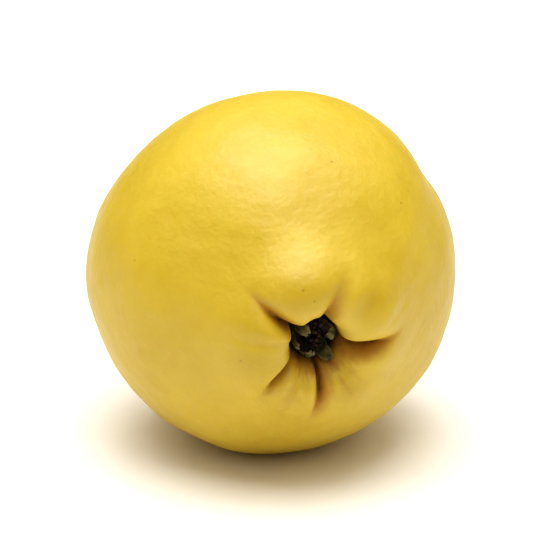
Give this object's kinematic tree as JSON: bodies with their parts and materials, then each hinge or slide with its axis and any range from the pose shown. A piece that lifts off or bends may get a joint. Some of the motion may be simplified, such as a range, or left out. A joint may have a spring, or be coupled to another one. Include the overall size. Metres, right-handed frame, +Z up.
{
  "type": "quince",
  "caption": "Ripe yellow quince lying on its side, with a lobed, creased eye that holds the dried flower, and a stub of stalk at the far end.",
  "frame": {"origin": "middle of the footprint's box, on the surface that the fruit lies on", "axes": "+Z up; -Y the way the eye points, 4.6 degrees below level along the core line; +Y towards the stalk; +X to the right when looking along +Y"},
  "size_m": [0.0842, 0.0934, 0.0818],
  "materials": {
    "quince_skin": "warm yellow skin, satin, finely dimpled",
    "dried_sepal": "dry grey-green, matt",
    "dried_thread": "dried dark purple-brown, matt",
    "stalk_wood": "brown bark with a broken end, matt"
  },
  "bodies": {
    "root": {"fruit": "quince_skin", "sepal_1": "dried_sepal", "sepal_2": "dried_sepal", "sepal_3": "dried_sepal", "sepal_4": "dried_sepal", "sepal_5": "dried_sepal", "stamen_01": "dried_thread", "stamen_02": "dried_thread", "stamen_03": "dried_thread", "stamen_04": "dried_thread", "stamen_05": "dried_thread", "stamen_06": "dried_thread", "stamen_07": "dried_thread", "stamen_08": "dried_thread", "stamen_09": "dried_thread", "stamen_10": "dried_thread", "stamen_11": "dried_thread", "stamen_12": "dried_thread", "stamen_13": "dried_thread", "stamen_14": "dried_thread", "stamen_15": "dried_thread", "stamen_16": "dried_thread", "stamen_17": "dried_thread", "stamen_18": "dried_thread", "stamen_19": "dried_thread", "stamen_20": "dried_thread", "style_1": "dried_thread", "style_2": "dried_thread", "style_3": "dried_thread", "style_4": "dried_thread", "style_5": "dried_thread", "stalk": "stalk_wood"}
  },
  "joints": []
}
